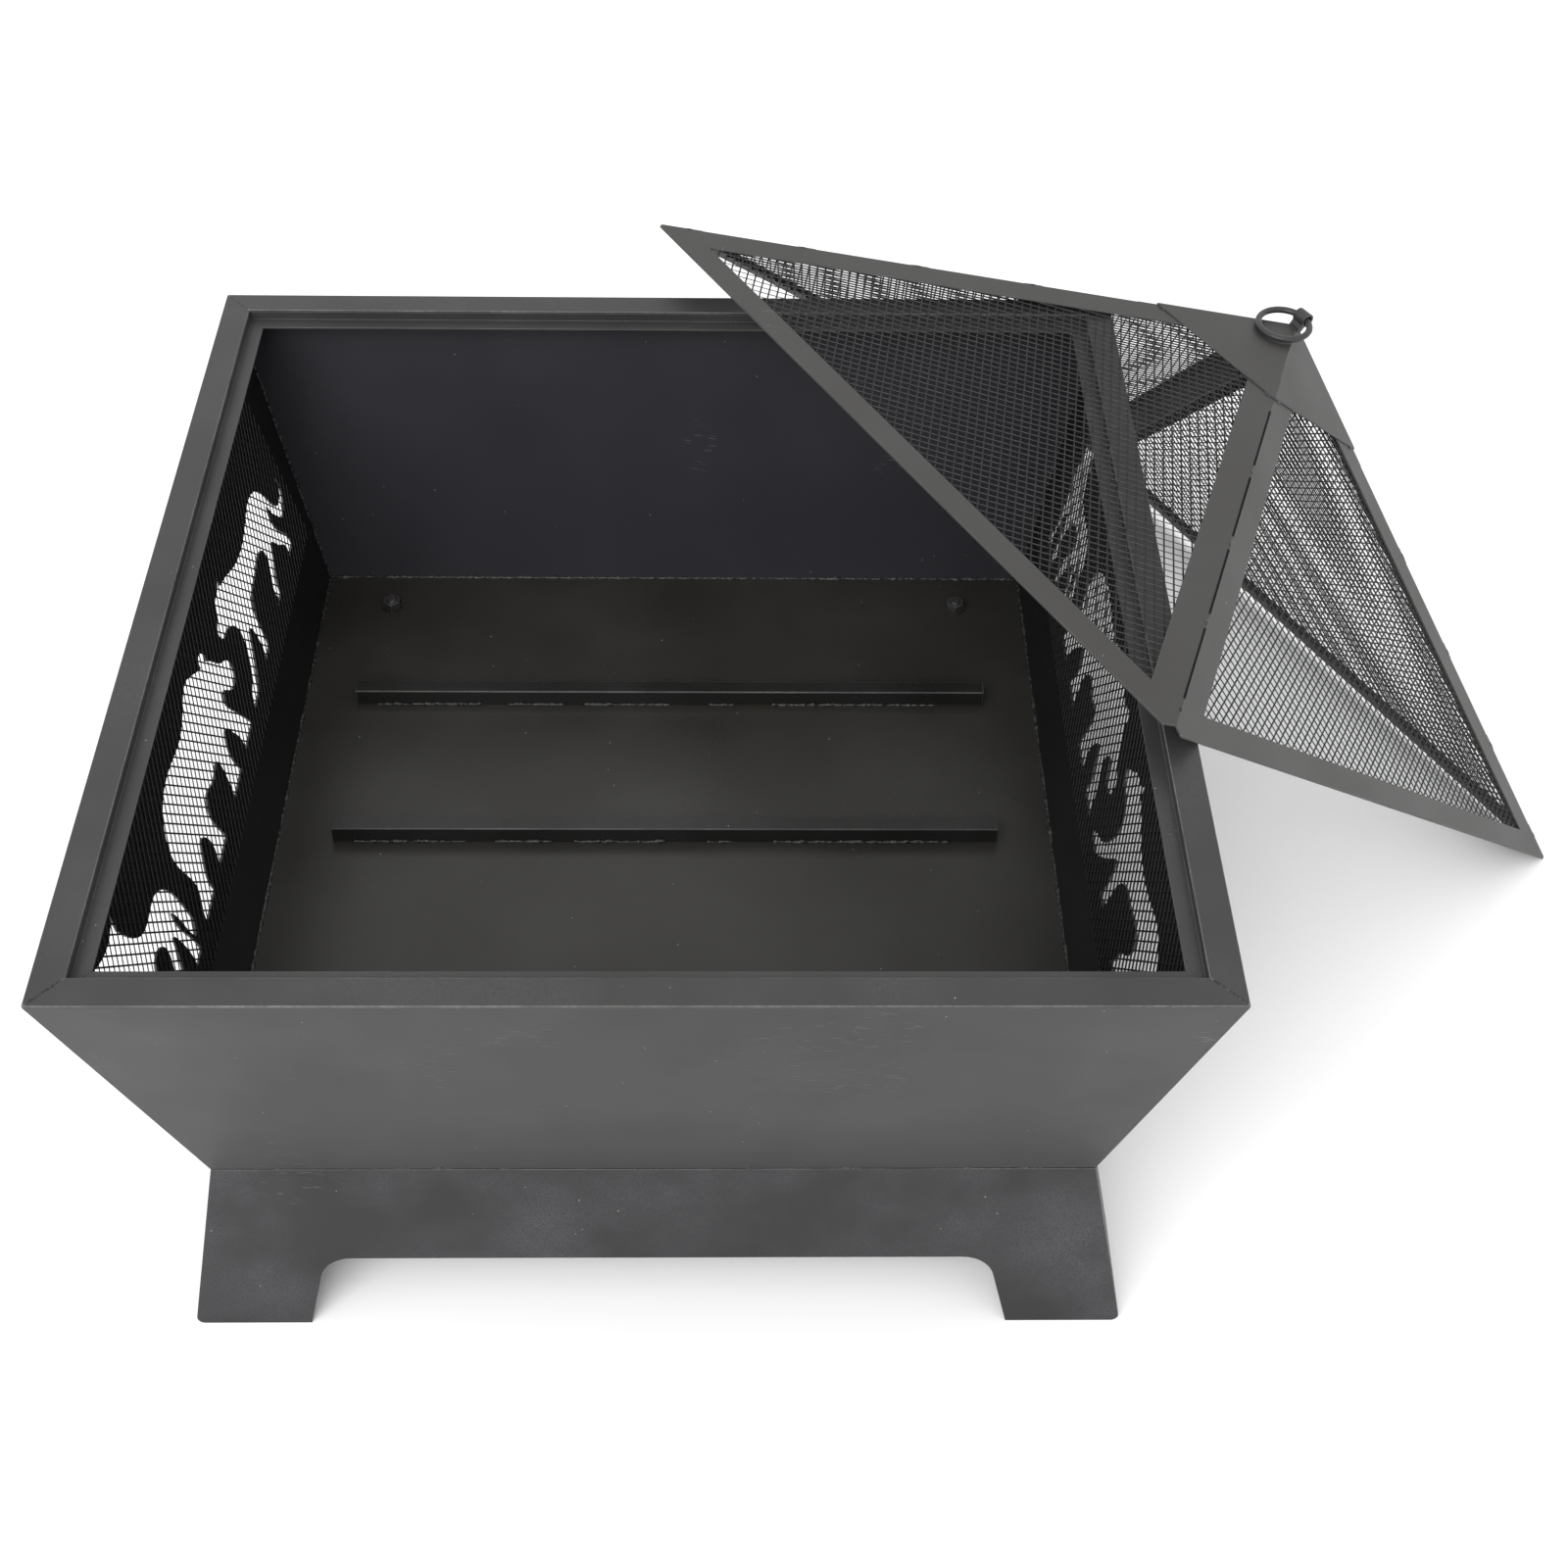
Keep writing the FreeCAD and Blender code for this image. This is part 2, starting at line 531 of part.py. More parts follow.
def leaning():
    """Where the screen's own frame lies. It stands on its lowest corner, its right edge rests on the
    side of the rim, and it tilts until its slopes just clear the rim, each a small gap away."""
    half, slope = value(LID_HALF), math.radians(value(LID_SLOPE))
    side, height, gap = value("top_width / 2"), value(PIT_HEIGHT), value("lean_gap")
    mesh_foot = value("(lid_strip - lid_mesh_lap)") * math.cos(slope)
    lining = max(value("mesh_sheet"), value("hip_sheet"))
    rim = list(rim_edges())

    def lie(tilt):
        spin = (Rotation(Vector(0, 0, 1), value("lean_turn")) * Rotation(Vector(1, 0, 0), -tilt)
                * Rotation(Vector(0, 1, 0), value("lean_roll")))
        z = value("ground_gap") - spin.multVec(Vector(half, half, 0)).z
        edge, along = spin.multVec(Vector(half, 0, 0)), spin.multVec(Vector(0, 1, 0))
        reach = (height + gap - z - edge.z) / along.z
        return Placement(Vector(side - edge.x - reach * along.x, side - value("lean_offset"), z), spin)

    def room(tilt):
        back = lie(tilt).inverse()
        least = math.inf
        for spot in rim:
            point = back.multVec(spot)
            inwards = half - max(abs(point.x), abs(point.y))
            if inwards > 0:
                taken = gap / 2 + (lining if inwards > mesh_foot else 0)
                least = min(least, (math.tan(slope) * inwards - point.z) * math.cos(slope) - taken)
        return least

    low = next(tilt for tilt in TILTS if room(tilt) < 0 <= room(tilt + 1))
    high = low + 1
    for _ in range(HALVINGS):
        middle = (low + high) / 2
        low, high = (middle, high) if room(middle) < 0 else (low, middle)
    return lie(high)


def on_lid(local=place()):
    """A placement in the screen's own frame, as an expression."""
    return f"lean.Placement * {local}"


def slope_plane(lift="0"):
    """The underside of the screen's front side frame, lifted; X along the edge, Y up the slope."""
    return place(0, f"-{LID_HALF}", lift, "1; 0; 0", LID_SLOPE)


def hip(distance, inset="0"):
    """A point a distance up the right hip of a side frame, set in from the hip's line."""
    x = f"{LID_HALF} - (({distance}) * {LID_HALF} + ({inset}) * {LID_SLANT}) / {LID_HIP}"
    y = f"(({distance}) * {LID_SLANT} - ({inset}) * {LID_HALF}) / {LID_HIP}"
    return x, y


def inside_hip(height, inset):
    """Half the width of a side frame at a height up the slope, less an inset square to the hip."""
    return f"({LID_HALF} * (1 - ({height}) / {LID_SLANT}) - ({inset}) * {LID_HIP} / {LID_SLANT})"


def tip(clip):
    """The clipped right end of a side frame's bottom strip."""
    return [(f"{LID_HALF} - {clip}", "0"),
            (f"{LID_HALF} - {clip} / 2", f"{clip} / 2 * {LID_SLANT} / {LID_HALF}")]


def lid_frame(side, turn):
    """One sloping side frame: bottom strip, two half ribs and a hidden top bar. Slots run along each
    hip between the frame and its neighbour, with closed bridges between them. The corner that the
    front and right frames share is cut blunt, the others are nearly sharp."""
    body = new_body(f"lid_frame_{side}", on_lid(place(angle=f"{turn}deg")))
    sketch = new_sketch(body, f"lid_frame_{side}_outline", slope_plane())
    top = f"({CAP_EDGE} + cap_lap)"
    pitch = f"(({CAP_EDGE} * {LID_HIP} / {LID_SLANT} - slot_first) / slot_count)"
    edge = []
    for number in range(round(value("slot_count"))):
        start = f"(slot_first + {number} * {pitch})"
        end = f"({start} + {pitch} - slot_bridge)"
        edge += [hip(start), hip(start, "slot_width / 2"), hip(end, "slot_width / 2"), hip(end)]
    edge.append((inside_hip(top, "0"), top))
    right = tip("lid_blunt" if side == "front" else "lid_clip") + edge
    left = tip("lid_blunt" if side == "right" else "lid_clip") + edge
    add_outline(sketch, right + [(f"-({x})", y) for x, y in reversed(left)])
    window = (both(inside_hip("lid_strip", "lid_rib"), "lid_strip")
              + both(inside_hip(f"{CAP_EDGE} + cap_cover", "lid_rib"), f"{CAP_EDGE} + cap_cover")[::-1])
    add_outline(sketch, window)
    pad(body, sketch, "lid_sheet", direction=(0, 0, 1))
    return body


def lid_mesh(side, turn):
    """The mesh under one side frame, as a plain sheet."""
    body = new_body(f"lid_mesh_{side}", on_lid(place(angle=f"{turn}deg")))
    sketch = new_sketch(body, f"lid_mesh_{side}_outline", slope_plane())
    foot, top, inset = "(lid_strip - lid_mesh_lap)", f"({CAP_EDGE} + cap_lap / 2)", "(lid_rib - lid_mesh_lap)"
    add_outline(sketch, both(inside_hip(foot, inset), foot) + both(inside_hip(top, inset), top)[::-1])
    pad(body, sketch, "mesh_sheet", direction=(0, 0, -1))
    return body


def hip_strip(side, turn):
    """The folded strip under the hip that a side shares with the side on its right."""
    body = new_body(f"hip_strip_{side}", on_lid(place(angle=f"{turn}deg")))
    top = f"(({CAP_EDGE} + cap_lap) * {LID_HIP} / {LID_SLANT})"
    corners = [hip("hip_start"), hip("hip_start", "hip_lap"), hip(top, "hip_lap"), hip(top)]
    next_plane = f"{place(angle='90deg')} * {slope_plane()}"
    for name, plane, way in (("near", slope_plane(), ""), ("far", next_plane, "-")):
        sketch = new_sketch(body, f"hip_strip_{side}_{name}", plane)
        add_outline(sketch, [(f"{way}({x})", y) for x, y in corners])
        pad(body, sketch, "hip_sheet", direction=(0, 0, -1))
    return body


def lid_cap():
    """The sheet pyramid over the tops of the side frames, slit at its peak for the strap."""
    body = new_body("lid_cap", on_lid())
    sketch = new_sketch(body, "cap_face", slope_plane(LID_SHEET_UP))
    add_outline(sketch, both(inside_hip(CAP_EDGE, "0"), CAP_EDGE) + [("0", LID_SLANT)])
    face = pad(body, sketch, "cap_sheet", direction=(0, 0, 1))
    fold = body.newObject("PartDesign::PolarPattern", "cap_faces")
    fold.Originals = [face]
    fold.Axis = (next(item for item in body.Origin.OriginFeatures if item.Role == "Z_Axis"), [""])
    fold.Occurrences = len(SIDES)
    fold.Angle = 360
    body.Tip = fold
    slit = new_sketch(body, "cap_slit")
    x, y = "(strap_width / 2 + strap_slack)", "(strap_sheet + strap_slack)"
    add_outline(slit, both(x, f"-{y}") + both(x, y)[::-1])
    pocket(body, slit)
    return body


def ring_strap():
    """A strap bent to an eye over the cap, its two legs down through the slit and out under the cap."""
    body = new_body("ring_strap", on_lid(place("-strap_width / 2", 0, CAP_PEAK)))
    upright = place(axis="1; 1; 1", angle="120deg")
    eye = new_sketch(body, "strap_eye", upright)
    add_circle(eye, "0", "eye_height", "eye_bore / 2")
    add_circle(eye, "0", "eye_height", "eye_bore / 2 + strap_sheet")
    pad(body, eye, "strap_width")
    legs = new_sketch(body, "strap_legs", upright)
    fall = f"tan({LID_SLOPE})"
    under = f"(-{CAP_SHEET_UP} - strap_slack)"
    gauge = f"strap_sheet / cos({LID_SLOPE})"
    elbow = f"{under} - strap_width / 2 * {fall}"
    right = [("strap_sheet", "eye_height - eye_bore / 2 - strap_sheet / 2"), ("strap_sheet", elbow),
             ("strap_width / 2", elbow), ("strap_foot", f"{under} - strap_foot * {fall}"),
             ("strap_foot", f"{under} - strap_foot * {fall} - {gauge}"),
             ("strap_width / 2", f"{elbow} - {gauge}")]
    add_outline(legs, right + [(f"-({x})", y) for x, y in reversed(right)])
    pad(body, legs, "strap_width")
    return body


def pull_ring():
    """A round steel ring through the eye, lying on the front slope of the cap."""
    ring = doc.addObject("Part::Torus", "pull_ring")
    eye = place(0, 0, f"{CAP_PEAK} + eye_height", "1; 0; 0", RING_DROOP)
    middle = place(y="-" + RING_RADIUS)
    bind(ring, Radius1=RING_RADIUS, Radius2="ring_rod / 2", Placement=on_lid(f"{eye} * {middle}"))
    return ring


# ---------------------------------------------------------------- assembly

pieces = [floor_plate(), *fasteners()]
for side, turn in SIDES.items():
    pieces += [wall_panel(side, turn), rim_strip(side, turn), ledge_angle(side, turn), base_panel(side, turn)]
    if side in ("left", "right"):
        pieces.append(side_mesh(side, turn))
for name, y in (("log_rail_front", "-rail_pitch"), ("log_rail_middle", "0"), ("log_rail_back", "rail_pitch")):
    pieces.append(log_rail(name, y))

lean = doc.addObject("App::Placement", "lean")
lean.Placement = leaning()
for side, turn in SIDES.items():
    pieces += [lid_frame(side, turn), lid_mesh(side, turn), hip_strip(side, turn)]
pieces += [lid_cap(), ring_strap(), pull_ring()]
doc.recompute()

# ---------------------------------------------------------------- checks and export

for item in doc.Objects:
    if {"Invalid", "Error"} & set(item.State):
        raise RuntimeError(f"{item.Label}: {item.State}")
for piece in pieces:
    if piece.Shape.isNull() or not piece.Shape.isValid():
        raise RuntimeError(f"{piece.Label} has no valid shape")

os.makedirs("parts", exist_ok=True)
for piece in pieces:
    piece.Shape.exportStep(f"parts/{piece.Label}.step")
print(f"{len(pieces)} sub-parts; the screen lies at {lean.Placement}")
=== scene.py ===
import math

import bmesh
import bpy
import numpy as np
from mathutils import Matrix, Vector, geometry, noise


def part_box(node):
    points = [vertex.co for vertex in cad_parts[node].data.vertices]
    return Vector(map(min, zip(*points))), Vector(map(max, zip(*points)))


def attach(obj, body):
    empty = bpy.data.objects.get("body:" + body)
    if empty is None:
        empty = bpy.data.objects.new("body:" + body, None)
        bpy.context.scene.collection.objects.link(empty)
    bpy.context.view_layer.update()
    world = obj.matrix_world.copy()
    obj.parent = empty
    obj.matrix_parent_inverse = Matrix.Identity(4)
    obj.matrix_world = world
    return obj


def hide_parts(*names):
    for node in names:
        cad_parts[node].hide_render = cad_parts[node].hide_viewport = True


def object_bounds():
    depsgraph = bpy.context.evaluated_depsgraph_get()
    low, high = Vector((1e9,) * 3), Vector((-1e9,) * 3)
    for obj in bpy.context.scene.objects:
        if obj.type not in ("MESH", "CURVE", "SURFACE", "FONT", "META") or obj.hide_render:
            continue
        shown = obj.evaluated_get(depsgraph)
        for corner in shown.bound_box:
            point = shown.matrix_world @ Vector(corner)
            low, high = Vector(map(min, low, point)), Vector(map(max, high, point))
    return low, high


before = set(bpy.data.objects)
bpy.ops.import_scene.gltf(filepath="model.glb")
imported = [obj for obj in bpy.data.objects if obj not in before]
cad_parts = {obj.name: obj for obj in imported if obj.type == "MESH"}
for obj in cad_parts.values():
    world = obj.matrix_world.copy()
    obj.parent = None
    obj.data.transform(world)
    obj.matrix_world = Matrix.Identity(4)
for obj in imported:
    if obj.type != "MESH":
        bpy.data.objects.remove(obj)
cad_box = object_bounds()

SIDES = ("front", "right", "back", "left")
MM = 0.001

# ---------------------------------------------------------------- sizes, in metres

WALL_GAUGE = 1.5 * MM
STRAND_WIDE = 1.05 * MM         # mesh strands: width across the sheet's slit, and the sheet's own gauge
STRAND_THICK = 0.6 * MM
STRAND_TILT = math.radians(35)  # the two families lean opposite ways
STRAND_SHIFT = 0.25             # first strand, from the sheet's corner, in diamonds
STRAND_SHORTEST = 2 * MM
WALL_DIAMOND = (8.1 * MM, 9.8 * MM)     # mesh diamonds along and up a side wall
SCREEN_DIAMOND = (9.8 * MM, 8.0 * MM)   # and along and up a slope of the spark screen
NUT_ACROSS = 13 * MM
BOLT_SIZE = 8 * MM
BOLT_HEAD = 5.3 * MM
THREAD_PITCH = 1.25 * MM
THREAD_DEPTH = 0.6 * MM
HIP_SLOT_FIRST = 34 * MM        # open slots between the half ribs of two slopes, from the lower corner
HIP_SLOT_COUNT = 4
HIP_SLOT_BRIDGE = 14 * MM
CAP_TACK_IN = 7 * MM            # tacks on the cap's lower edge, from the hips
HIP_TACK = (3.2 * MM, 1.3 * MM, 0.4 * MM)     # half length, half width and height of a tack weld
CAP_TACK = (3.4 * MM, 1.4 * MM, 1.0 * MM)
TACK_SINK = 0.25 * MM
WALL_ROUND = 0.35 * MM          # how far each sheet's edges are rounded
RIM_ROUND = 0.45 * MM
LEDGE_ROUND = 0.3 * MM
BASE_ROUND = 0.5 * MM
RAIL_ROUND = 0.9 * MM
FRAME_ROUND = 0.3 * MM
CAP_ROUND = 0.5 * MM
STRAP_ROUND = 0.3 * MM
CORNER_BEAD = 1.4 * MM          # radii of the weld beads
FLOOR_BEAD = 1.3 * MM
RAIL_BEAD = 1.5 * MM
MITRE_BEAD = 0.85 * MM
MITRE_IN = 1.5 * MM             # the mitre beads stop short of the rim's edges
MITRE_SINK = 0.5 * MM
BEAD_SIDES = 7
RAIL_WELDS = ((0.03, 0.2), (0.24, 0.33), (0.36, 0.5), (0.56, 0.6), (0.66, 0.93))  # shares of a rail

# ---------------------------------------------------------------- studio, in metres, watts and degrees

FLOOR_HALF = 6
ROOM_LIGHT = 1.2
SOFTBOX_PLACE = (-0.9, -2.2, 2.4)
SOFTBOX_AIM = (0.1, 0, 0.2)
SOFTBOX_SIZE = (2.4, 1.6)
SOFTBOX_POWER = 65
CAMERA_PLACE = (0.0551, -1.0123, 1.2909)
CAMERA_TURNS = ((-1.664, "Z"), (-47.176, "X"), (-1.322, "Y"))
CAMERA_LENS = 48.39             # millimetres, on film 36 mm wide
CAMERA_FILM = 36

# ---------------------------------------------------------------- colours and material nodes

PAINT_IOR = 1.42                # silicone resin, the binder of stove paint


def srgb(text):
    """A hex colour such as "4a4a4c" as linear red, green, blue and alpha."""
    parts = [int(text[i:i + 2], 16) / 255 for i in (0, 2, 4)]
    return [p / 12.92 if p <= 0.04045 else ((p + 0.055) / 1.055) ** 2.4 for p in parts] + [1.0]


def add(tree, kind, inputs=None, **settings):
    """Adds a node with its settings; an input is a value or the output socket that feeds it."""
    node = tree.nodes.new(kind)
    for name, value in settings.items():
        setattr(node, name, value)
    for name, value in (inputs or {}).items():
        if isinstance(value, bpy.types.NodeSocket):
            tree.links.new(value, node.inputs[name])
        else:
            node.inputs[name].default_value = value
    return node


def new_finish(name):
    """An empty material, its node tree and the place of each point on the piece, in metres."""
    material = bpy.data.materials.new(name)
    material.use_nodes = True
    material.node_tree.nodes.clear()
    place = add(material.node_tree, "ShaderNodeTexCoord").outputs["Object"]
    return material, material.node_tree, place


def mottle(tree, place, size, low, high, detail=3.0, seed=0.0):
    """A cloudy pattern of that size in metres, from 0 below low to 1 above high."""
    cloud = add(tree, "ShaderNodeTexNoise", {"Vector": place, "W": seed, "Scale": 1 / size, "Detail": detail},
                noise_dimensions="4D")
    return ramp(tree, cloud.outputs["Fac"], low, high)


def ramp(tree, value, low, high, start=0.0, end=1.0):
    """A value's stretch from low to high, as start to end."""
    return add(tree, "ShaderNodeMapRange", {"Value": value, "From Min": low, "From Max": high,
                                            "To Min": start, "To Max": end}).outputs["Result"]


def times(tree, one, other):
    return add(tree, "ShaderNodeMath", {0: one, 1: other}, operation="MULTIPLY").outputs[0]


def blend_colours(tree, share, under, over):
    """Colour under where share is 0, and over where it is 1."""
    return add(tree, "ShaderNodeMix", {0: share, 6: under, 7: over}, data_type="RGBA").outputs[2]


def specks(tree, place, spacing, radius, share, seed=0.0):
    """Round specks, in that share of the cells of a loose grid of that spacing."""
    cells = add(tree, "ShaderNodeTexVoronoi", {"Vector": place, "W": seed, "Scale": 1 / spacing},
                voronoi_dimensions="4D")
    dot = ramp(tree, cells.outputs["Distance"], radius / spacing, 0.6 * radius / spacing)
    pick = add(tree, "ShaderNodeSeparateColor", {"Color": cells.outputs["Color"]})
    some = add(tree, "ShaderNodeMath", {0: pick.outputs["Red"], 1: share}, operation="LESS_THAN")
    return times(tree, dot, some.outputs[0])


def scratches(tree, place, turn, length, width, share, seed):
    """Hairline scratches that run one way, in the few patches where a slow cloud is at its thickest."""
    laid = add(tree, "ShaderNodeMapping", {"Vector": place, "Rotation": turn,
                                           "Scale": (length, width, width)}, vector_type="TEXTURE")
    streak = mottle(tree, laid.outputs[0], 1.0, 0.68, 0.74, detail=1.0, seed=seed)
    patch = mottle(tree, place, 3 * length, 0.7 - share, 0.74 - share, detail=1.0, seed=seed)
    return times(tree, streak, patch)


def finish_surface(material, tree, colour, roughness, height, depth, **fixed):
    """Closes a material: colour and roughness from nodes, relief of that depth in metres, fixed values."""
    bump = add(tree, "ShaderNodeBump", {"Height": height, "Distance": depth, "Strength": 1.0})
    shader = add(tree, "ShaderNodeBsdfPrincipled", {"Base Color": colour, "Roughness": roughness,
                                                    "Normal": bump.outputs[0]})
    for name, value in fixed.items():
        shader.inputs[name.replace("_", " ")].default_value = value
    add(tree, "ShaderNodeOutputMaterial", {"Surface": shader.outputs[0]})
    return material


def stove_paint(name, paint, pale, gloss=(0.38, 0.5), dust=0.1, dusty=0.06, rubbed=0.05, inner_painted_light=None):
    """Heat-proof black stove paint, sprayed on sheet steel: a satin charcoal film with a fine orange
    peel, a few tiny pale dust nibs and hairline scratches. Faces that look into the bowl may take another
    colour, painted light and shade that stands for the light inside it."""
    material, tree, place = new_finish(name)
    shade = mottle(tree, place, 90 * MM, 0.3, 0.7)
    colour = blend_colours(tree, times(tree, shade, 0.35), srgb(paint), srgb(pale))
    # fine dust of about 0.3 mm in drifts, its grains drawn at 1 mm so that they show
    drift = mottle(tree, place, 80 * MM, 0.4, 0.8, seed=3.0)
    grains = mottle(tree, place, 1.0 * MM, 0.3, 0.8, seed=4.0)
    dusted = times(tree, times(tree, drift, grains), dusty)
    colour = blend_colours(tree, dusted, colour, srgb("9a9a9f"))
    # painted light and shade: faces that look into the bowl take this colour instead of the paint's
    if inner_painted_light:
        spot = add(tree, "ShaderNodeSeparateXYZ", {"Vector": place})
        middle = add(tree, "ShaderNodeCombineXYZ", {"X": spot.outputs["X"], "Y": spot.outputs["Y"]})
        way = add(tree, "ShaderNodeNewGeometry").outputs["True Normal"]
        outward = add(tree, "ShaderNodeVectorMath", {0: way, 1: middle.outputs[0]}, operation="DOT_PRODUCT")
        inside = ramp(tree, outward.outputs["Value"], 0.0, -10 * MM)
        colour = blend_colours(tree, inside, colour, srgb(inner_painted_light))
    nibs = specks(tree, place, 5 * MM, 0.5 * MM, dust)
    streaks = scratches(tree, place, (0.0, 0.15, 0.0), 30 * MM, 0.45 * MM, rubbed, 7.0)
    marks = add(tree, "ShaderNodeMath", {0: nibs, 1: times(tree, streaks, 0.5)}, operation="MAXIMUM")
    colour = blend_colours(tree, times(tree, marks.outputs[0], 0.75), colour, srgb("b4b4b0"))
    roughness = ramp(tree, shade, 0.0, 1.0, *gloss)
    # orange peel of about 0.5 mm, drawn at 1.2 mm so that it shows
    peel = mottle(tree, place, 1.2 * MM, 0.0, 1.0, detail=2.0, seed=11.0)
    return finish_surface(material, tree, colour, roughness, peel, 0.04 * MM, IOR=PAINT_IOR)


def rubbed_edge(name, paint, bare, cover):
    """The turned edge of a painted sheet, where handling has thinned the paint to a soft pale line."""
    material, tree, place = new_finish(name)
    worn = mottle(tree, place, 45 * MM, cover - 0.22, cover + 0.22, detail=4.0)
    fine = mottle(tree, place, 3 * MM, 0.1, 0.6, seed=5.0)
    colour = blend_colours(tree, times(tree, worn, fine), srgb(paint), srgb(bare))
    roughness = ramp(tree, worn, 0.0, 1.0, 0.5, 0.4)
    return finish_surface(material, tree, colour, roughness, fine, 0.02 * MM, IOR=PAINT_IOR)


def weld_paint(name, paint, crest):
    """Arc weld under the same paint: thick and a little glossier, with spatter and thin crests."""
    material, tree, place = new_finish(name)
    lump = mottle(tree, place, 3 * MM, 0.45, 0.65, detail=4.0)
    colour = blend_colours(tree, times(tree, lump, 0.6), srgb(paint), srgb(crest))
    roughness = ramp(tree, lump, 0.0, 1.0, 0.26, 0.38)
    return finish_surface(material, tree, colour, roughness, lump, 0.25 * MM, IOR=PAINT_IOR)


def strand_paint(name, paint, pale):
    """Expanded steel mesh dipped in black paint: dull strands, a little paler where paint runs thin."""
    material, tree, place = new_finish(name)
    thin = mottle(tree, place, 6 * MM, 0.4, 0.75)
    colour = blend_colours(tree, times(tree, thin, 0.4), srgb(paint), srgb(pale))
    roughness = ramp(tree, thin, 0.0, 1.0, 0.45, 0.6)
    return finish_surface(material, tree, colour, roughness, thin, 0.05 * MM, IOR=PAINT_IOR)


# the last colour on these two lines is painted light and shade on faces that look into the bowl: lighter on
# the walls, darker on the pierced walls
WALL = stove_paint("stove_paint_on_walls", "1d1d1e", "2b2b2d", dust=0.25, rubbed=0.08, inner_painted_light="28272c")
PIERCED = stove_paint("stove_paint_on_pierced_walls", "29292a", "343435", inner_painted_light="101011")
BASE = stove_paint("stove_paint_on_base", "1b1b1d", "262628", dust=0.4, dusty=0.24, rubbed=0.1)
RIM = stove_paint("stove_paint_on_rim", "2c2b2b", "3d3c3b", dust=0.3, dusty=0.1)
BOWL = stove_paint("smoked_paint_in_bowl", "21201d", "2d2c28", gloss=(0.26, 0.4), dust=0.25, rubbed=0.03)
# the log rails' colours are made darker to stand for the dark reflection of the bowl's walls in their front
# faces: painted reflection
RAIL = stove_paint("log_rail_paint_with_painted_dark_reflection", "141413", "1e1e1c", gloss=(0.24, 0.34), rubbed=0.03)
SCREEN = stove_paint("stove_paint_on_screen", "2d2c2b", "393836", dust=0.15)
# near black behind the hip slots: painted shade that makes the shallow slots read dark
HIP_SLOT_SHADE = stove_paint("painted_shade_in_hip_slots", "0c0c0c", "141414", gloss=(0.6, 0.7), dust=0.0)
RING = stove_paint("satin_paint_on_ring", "2c2a2b", "393637", gloss=(0.28, 0.4), dust=0.03)
EDGE = rubbed_edge("rubbed_paint_edge", "323232", "727270", 0.48)
QUIET_EDGE = rubbed_edge("painted_edge", "2c2c2c", "525250", 0.5)
WELD = weld_paint("painted_weld", "181818", "4c4c4a")
STRANDS = strand_paint("painted_expanded_steel", "0c0c0c", "181817")

# ---------------------------------------------------------------- pieces in mesh code


def new_piece(name, body, slot, points, faces, *materials):
    """A mesh piece that rides on a CAD body, in the frame's own coordinates."""
    mesh = bpy.data.meshes.new(name)
    mesh.from_pydata(points, [], faces)
    mesh.validate()
    piece = bpy.data.objects.new(name, mesh)
    bpy.context.scene.collection.objects.link(piece)
    for material in materials:
        mesh.materials.append(material)
    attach(piece, body)
    return piece


def shade_by_angle(mesh, angle):
    """Smooth shading, broken at edges sharper than the angle in degrees."""
    mesh.polygons.foreach_set("use_smooth", [True] * len(mesh.polygons))
    mesh.set_sharp_from_angle(angle=math.radians(angle))


def softened(node, body, slot, material, edge, radius):
    """A CAD sheet with its sharp edges rounded as cutting, folding and painting leave them."""
    work = bmesh.new()
    work.from_mesh(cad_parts[node].data)
    bmesh.ops.remove_doubles(work, verts=work.verts, dist=0.001 * MM)
    bmesh.ops.dissolve_limit(work, angle_limit=math.radians(0.5), verts=work.verts, edges=work.edges)
    work.verts.index_update()
    faces = [[v.index for v in face.verts] for face in work.faces]
    piece = new_piece(node + "_sheet", body, slot, [v.co.copy() for v in work.verts], faces, material, edge)
    work.free()
    bevel = piece.modifiers.new("rounded", "BEVEL")
    bevel.width, bevel.segments, bevel.limit_method = radius, 2, "ANGLE"
    bevel.angle_limit, bevel.material, bevel.use_clamp_overlap = math.radians(28), 1, True
    shade_by_angle(piece.data, 40)
    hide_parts(node)


def band(first, count):
    """Faces that join a ring of points to the next ring."""
    turns = [(k, (k + 1) % count) for k in range(count)]
    return [[first + k, first + after, first + count + after, first + count + k] for k, after in turns]


def flat_sheet(node):
    """The corners of a flat CAD sheet's middle plane, in order round it, with its normal."""
    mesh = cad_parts[node].data
    largest = max(mesh.polygons, key=lambda face: face.area)
    normal = largest.normal.copy()
    heights = [normal.dot(v.co) for v in mesh.vertices]
    top, middle = max(heights), (max(heights) + min(heights)) / 2
    corners = []
    for v, height in zip(mesh.vertices, heights):
        point = v.co + normal * (middle - height)
        if top - height < 0.01 * MM and all((point - c).length > 0.1 * MM for c in corners):
            corners.append(point)
    centre = sum(corners, Vector()) / len(corners)
    first = (corners[0] - centre).normalized()
    second = normal.cross(first)
    corners.sort(key=lambda c: math.atan2((c - centre).dot(second), (c - centre).dot(first)))
    return corners, normal


def clipped(point, way, corners, normal):
    """Where a line in the sheet's plane enters and leaves the outline, as distances along it."""
    low, high = -10.0, 10.0
    for i, corner in enumerate(corners):
        inwards = normal.cross(corners[(i + 1) % len(corners)] - corner)
        speed, gap = inwards.dot(way), inwards.dot(corner - point)
        if abs(speed) < 1e-9:
            if gap > 0:
                return None
        elif speed > 0:
            low = max(low, gap / speed)
        else:
            high = min(high, gap / speed)
    return (low, high) if high - low > STRAND_SHORTEST else None


